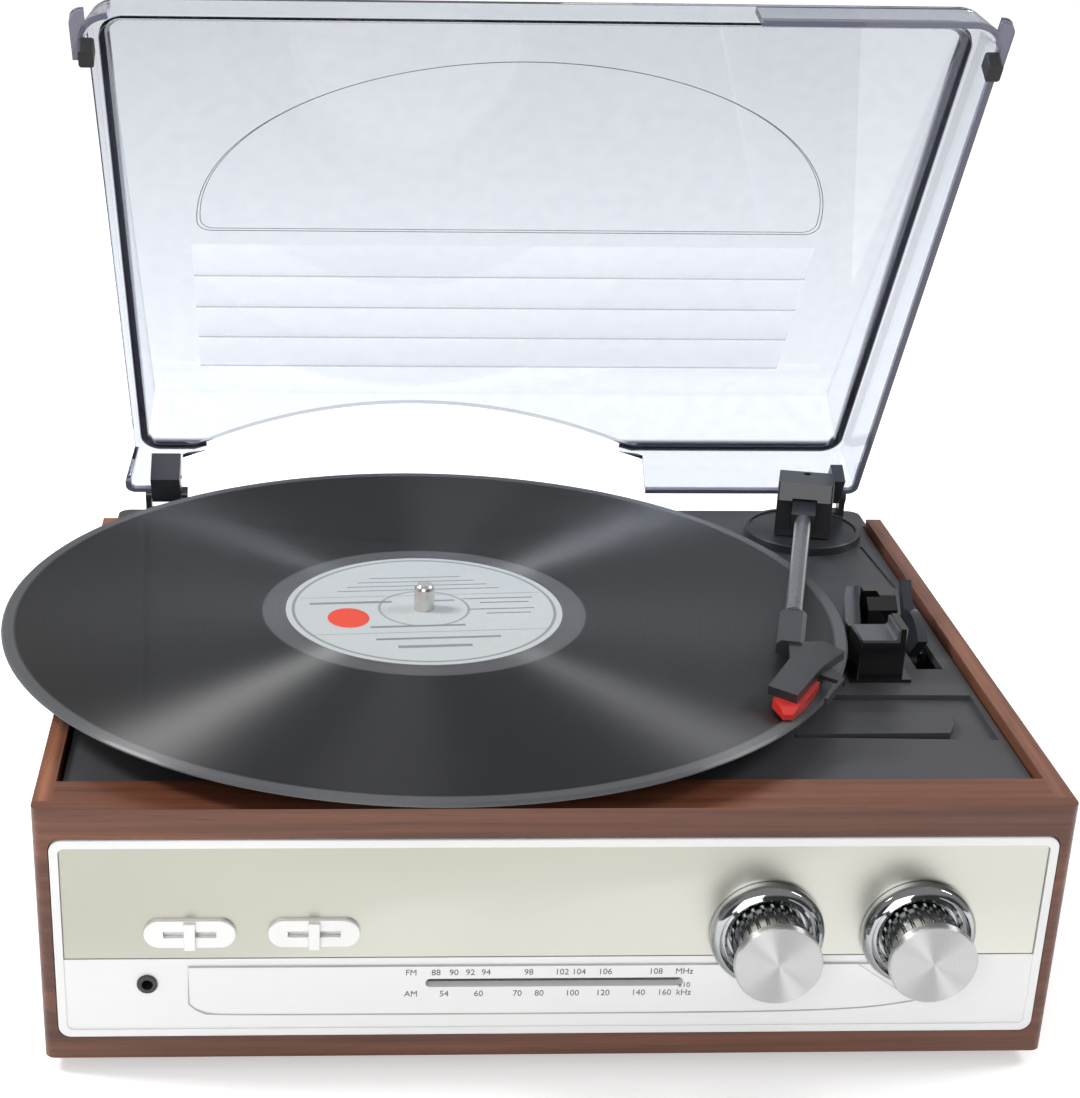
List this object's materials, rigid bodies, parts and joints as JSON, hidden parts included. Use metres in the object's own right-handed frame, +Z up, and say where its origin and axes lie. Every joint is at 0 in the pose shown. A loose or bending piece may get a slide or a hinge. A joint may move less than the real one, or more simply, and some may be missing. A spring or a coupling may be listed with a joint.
{
  "type": "record player with radio",
  "caption": "Record player with AM/FM radio in a brown wooden case: open tinted dust cover, black record, dark tone arm, silver front with dial window, two knobs and two slide switches.",
  "frame": {"origin": "middle of the footprint, on the floor under the four feet", "axes": "+Z up, the front with the dial faces -Y, +X to the viewer's right"},
  "size_m": [0.3484, 0.3114, 0.3138],
  "materials": {
    "wood": "satin walnut-like veneer",
    "deck": "matte",
    "back": "fine texture",
    "lid": "clear tinted acrylic",
    "panel": "satin silver paint",
    "plate": "bright champagne",
    "lens": "clear",
    "chrome": "polished",
    "cap": "spun",
    "steel": "turned",
    "bright": "silver plated plastic",
    "black": "glossy",
    "arm": "satin",
    "tube": "satin grey",
    "grey": "matte",
    "record": "grooved",
    "rubber": "matte",
    "stylus": "satin red",
    "circuit": "satin",
    "core": "matte",
    "cone": "matte",
    "alloy": "cast"
  },
  "bodies": {
    "case": {"front_board": "wood", "left_side_board": "wood", "right_side_board": "wood", "bottom_board": "wood", "rubber_feet": "rubber", "front_panel": "panel", "mirror_plate": "plate", "dial_lens": "lens", "knob_rings": "chrome", "volume_control": "steel", "control_board": "circuit", "tuning_capacitor": "alloy", "switch_plates": "bright", "switch_bodies": "steel", "headphone_socket": "black", "main_board": "circuit", "power_transformer": "core", "speakers": "cone", "top_deck": "deck", "back_cover": "back", "case_screws": "steel", "line_out_sockets": "steel", "cord_gland": "rubber", "spindle_bearing": "steel", "platter_motor": "steel", "drive_belt": "rubber", "arm_base": "black", "arm_rest": "black", "rest_lining": "grey", "cue_bracket": "black", "hinge_bases": "black", "hinge_pins": "steel"},
    "turntable_platter": {"platter": "alloy", "platter_mat": "rubber", "record": "record", "spindle": "chrome"},
    "motor_rotor": {"motor_pulley": "steel"},
    "arm_yoke": {"arm_housing": "arm", "arm_pivot_shaft": "steel", "arm_tilt_pin": "steel"},
    "tone_arm": {"arm_block": "arm", "arm_tube": "tube", "headshell": "arm", "cartridge": "black", "stylus_holder": "stylus"},
    "arm_lift_pin": {"lift_pin": "steel"},
    "cue_lever_body": {"cue_lever": "black"},
    "lid": {"dust_cover": "lid", "lid_bumpers": "rubber", "hinge_leaves": "black"},
    "tuning_control": {"tuning_knob": "chrome", "tuning_knob_cap": "cap", "tuning_shaft": "steel"},
    "volume_knob_body": {"volume_knob": "chrome", "volume_knob_cap": "cap", "volume_shaft": "steel"},
    "pointer": {"dial_pointer": "stylus"},
    "drum": {"dial_drum": "grey"},
    "function_switch_tab": {"function_slider": "bright"},
    "band_switch_tab": {"band_slider": "bright"}
  },
  "joints": [
    {"name": "platter_spin", "type": "hinge", "parent": "case", "child": "turntable_platter", "pos_m": [-0.0356, -0.0028, 0.10506], "axis": [0, 0, 1], "continuous": true},
    {"name": "motor_spin", "type": "hinge", "parent": "case", "child": "motor_rotor", "pos_m": [-0.0936, 0.0552, 0.096], "axis": [0, 0, 1], "continuous": true},
    {"name": "arm_swing", "type": "hinge", "parent": "case", "child": "arm_yoke", "pos_m": [0.1268, 0.1083, 0.107], "axis": [0, 0, 1], "range_deg": [-27, 12.4]},
    {"name": "arm_lift", "type": "hinge", "parent": "arm_yoke", "child": "tone_arm", "pos_m": [0.128, 0.11315, 0.107], "axis": [-0.9707, 0.2402, 0], "range_deg": [0, 1]},
    {"name": "lift_pin_slide", "type": "slide", "parent": "case", "child": "arm_lift_pin", "axis": [0, 0, 1], "range_m": [0, 0.0001], "stiffness_N_per_m": 0.2575, "springref_m": 0.1},
    {"name": "cue_lever_hinge", "type": "hinge", "parent": "case", "child": "cue_lever_body", "pos_m": [0.1444, -0.002, 0.084], "axis": [1, 0, 0], "range_deg": [0, 60]},
    {"name": "lid_hinge", "type": "hinge", "parent": "case", "child": "lid", "pos_m": [0, 0.1311, 0.101], "axis": [1, 0, 0], "range_deg": [0, 58.5]},
    {"name": "tuning_turn", "type": "hinge", "parent": "case", "child": "tuning_control", "pos_m": [0.0674, -0.138, 0.0507], "axis": [0, 1, 0], "range_deg": [0, 540]},
    {"name": "pointer_slide", "type": "slide", "parent": "case", "child": "pointer", "axis": [1, 0, 0], "range_m": [0, 0.083]},
    {"name": "drum_turn", "type": "hinge", "parent": "case", "child": "drum", "pos_m": [0.02, -0.118, 0.062], "axis": [0, 1, 0], "range_deg": [0, 180]},
    {"name": "volume_turn", "type": "hinge", "parent": "case", "child": "volume_knob_body", "pos_m": [0.1156, -0.138, 0.0507], "axis": [0, 1, 0], "range_deg": [-150, 150]},
    {"name": "function_slide", "type": "slide", "parent": "case", "child": "function_switch_tab", "axis": [1, 0, 0], "range_m": [-0.0065, 0.0065]},
    {"name": "band_slide", "type": "slide", "parent": "case", "child": "band_switch_tab", "axis": [1, 0, 0], "range_m": [-0.0065, 0.0065]}
  ],
  "couplings": [
    {"joint": "motor_spin", "follows": "platter_spin", "ratio": 16},
    {"joint": "lift_pin_slide", "follows": "arm_lift", "m_per_rad": 0.0046},
    {"joint": "cue_lever_hinge", "follows": "arm_lift", "ratio": 60},
    {"joint": "pointer_slide", "follows": "tuning_turn", "m_per_rad": 0.0088066},
    {"joint": "drum_turn", "follows": "tuning_turn", "ratio": 0.33333}
  ]
}
